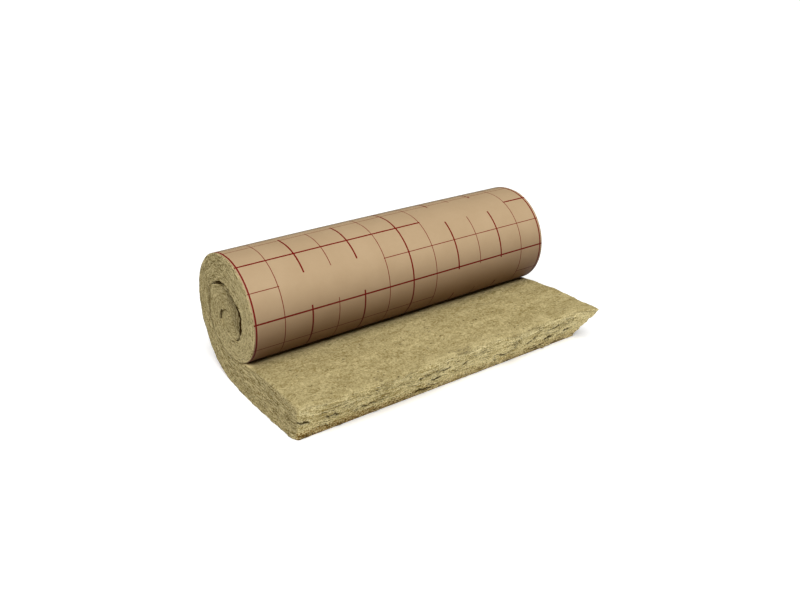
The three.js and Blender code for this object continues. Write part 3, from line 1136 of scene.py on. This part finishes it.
# Moves the facing's near end with the wool: inward from the crack, back from the end, and pushed.
def shapeFacing(mesh, path, cracks, backs):
    points = np.zeros(len(mesh.vertices) * 3, np.float32)
    mesh.vertices.foreach_get("co", points)
    points = points.reshape(-1, 3).astype(float)
    at = np.zeros(len(mesh.vertices), np.float32)
    mesh.attributes["along"].data.foreach_get("value", at)
    points[:, 0] += (facing["nearEdge"] + facing["farEdge"]) / 2
    # the last column but one moves close to the far edge, which keeps the rim's shading narrow
    column = (facing["farEdge"] - facing["nearEdge"]) / (facing["columns"] - 1)
    isNext = np.abs(points[:, 0] + column - facing["farEdge"]) < column / 2
    points[isNext, 0] = facing["farEdge"] - facing["farColumn"]
    points[:, 0] -= tornBack(points[:, 0], at)
    distance = lengthAlong(path)
    # half turns share their end points, and a slope needs each distance to be a new one
    slope = np.gradient(path, distance + np.arange(len(path)) * 1e-9, axis=0)
    inward = np.column_stack([np.interp(at, distance, part) for part in (-slope[:, 1], slope[:, 0])])
    inward /= np.linalg.norm(inward, axis=1)[:, None]
    crack = np.interp(at, distance, cracks)
    depth = np.clip(points[:, 0] + winding["halfWidth"], 0, None)
    fade = np.exp(-(depth / nearEnd["crackDepth"]) ** 2)
    points[:, 1:] += (nearEnd["crackWidth"] * fade * crack)[:, None] * inward
    back = np.interp(at, distance, backs)
    further = nearEnd["paperInset"] * np.minimum(1, nearEnd["paperHaste"] * back)
    points[:, 0] += (nearEnd["inset"] * back + further) * fade
    # round the near front corner
    reach = woolMat["cornerRound"]
    sideways, forward = nearness(points[:, 0] - facing["nearEdge"], reach), nearness(at, reach)
    shrink = 1 / np.maximum(np.hypot(sideways, forward), 1)
    isCorner = sideways * forward > 0
    roundX = reach * (1 - sideways * shrink) + facing["nearEdge"]
    roundY = reach * (1 - forward * shrink) - winding["lowerEdge"]
    points[:, 0] = np.where(isCorner, roundX, points[:, 0])
    points[:, 1] = np.where(isCorner, roundY, points[:, 1])
    points[:, 0] = bulgeNearEnd(points[:, 0], at, 0)
    points = swell(pushNearEnd(points))
    mesh.vertices.foreach_set("co", points.astype(np.float32).ravel())
    mesh.update()


def makeFacing():
    curve = bpy.data.curves.new("winding", "CURVE")
    curve.dimensions = "3D"
    path, cracks, backs = windingPath()
    spline = curve.splines.new("POLY")
    spline.points.add(len(path) - 1)
    for point, (y, z) in zip(spline.points, path):
        point.co = (0, y, z, 1)
    pathObject = bpy.data.objects.new("winding", curve)
    bpy.context.scene.collection.objects.link(pathObject)
    piece = bakeTree(pathObject, facingTree(), {
        "Width": facing["farEdge"] - facing["nearEdge"], "Columns": facing["columns"],
        "Step": facing["step"], "Finish": kraftMaterial()}, "kraft_facing_sheet")
    shapeFacing(piece.data, path, cracks, backs)
    return piece


facingPiece = makeFacing()
thick = facingPiece.modifiers.new("thickness", "SOLIDIFY")
thick.thickness = facing["thickness"]
thick.offset = -1
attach(facingPiece, "root")
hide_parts("kraft_facing")
print("facing made,", len(facingPiece.data.vertices), "vertices")

# A white floor and a wide, soft key light
studio = {
    "floor": "#f8f8f7",
    "floorReach": 60.0,
    "floorHeight": -0.0005,
    "floorGlow": 0.3,
    "sky": 0.03,
    "keyStrength": 3.15,
    "keyAngle": 44,  # how wide the key light looks, in degrees, which softens shadows
    "keyFrom": (-0.275, -0.375, 0.885),
}


def makeFloor():
    reach, height = studio["floorReach"], studio["floorHeight"]
    signs = [(-1, -1), (1, -1), (1, 1), (-1, 1)]
    floor = meshObject("floor", [(x * reach, y * reach, height) for x, y in signs], [(0, 1, 2, 3)])
    material, add = newMaterial("matt white studio floor")
    path = add("ShaderNodeLightPath").outputs
    mirrored = add(greatest, path["Is Glossy Ray"], path["Is Transmission Ray"])
    seen = add(greatest, path["Is Camera Ray"], mirrored)
    glow = add("ShaderNodeEmission", (1, 1, 1, 1), add(times, seen, studio["floorGlow"]))
    diffuse = add("ShaderNodeBsdfDiffuse", srgb(studio["floor"]))
    add("ShaderNodeOutputMaterial", add("ShaderNodeAddShader", diffuse, glow))
    floor.data.materials.append(material)


# White where the camera looks past the floor, and dim for everything else
def makeWorld():
    world = bpy.data.worlds.new("studio")
    world.use_nodes = True
    world.node_tree.nodes.clear()
    add = partial(addNode, world.node_tree)
    direct = add("ShaderNodeLightPath").outputs["Is Camera Ray"]
    sky = add("ShaderNodeBackground", (1, 1, 1, 1), add(mixed, direct, studio["sky"], 1.0))
    add("ShaderNodeOutputWorld", sky)
    bpy.context.scene.world = world


def makeKey():
    key = bpy.data.lights.new("key", "SUN")
    key.energy = studio["keyStrength"]
    key.angle = math.radians(studio["keyAngle"])
    keyObject = bpy.data.objects.new("key", key)
    keyObject.rotation_euler = (-Vector(studio["keyFrom"])).to_track_quat("-Z", "Y").to_euler()
    bpy.context.scene.collection.objects.link(keyObject)


makeFloor()
makeWorld()
makeKey()

view = {
    "from": (-1.5117, -2.2229, 1.4128),
    "towards": (0.06906, 0.0, 0.13271),
    "lens": 36.79,
}
camera = bpy.data.cameras.new("camera")
camera.lens = view["lens"]
cameraObject = bpy.data.objects.new("camera", camera)
cameraObject.location = view["from"]
aim = Vector(view["towards"]) - Vector(view["from"])
cameraObject.rotation_euler = aim.to_track_quat("-Z", "Y").to_euler()
bpy.context.scene.collection.objects.link(cameraObject)
bpy.context.scene.camera = cameraObject
bpy.context.scene.view_settings.view_transform = "Standard"
print("studio and camera made")
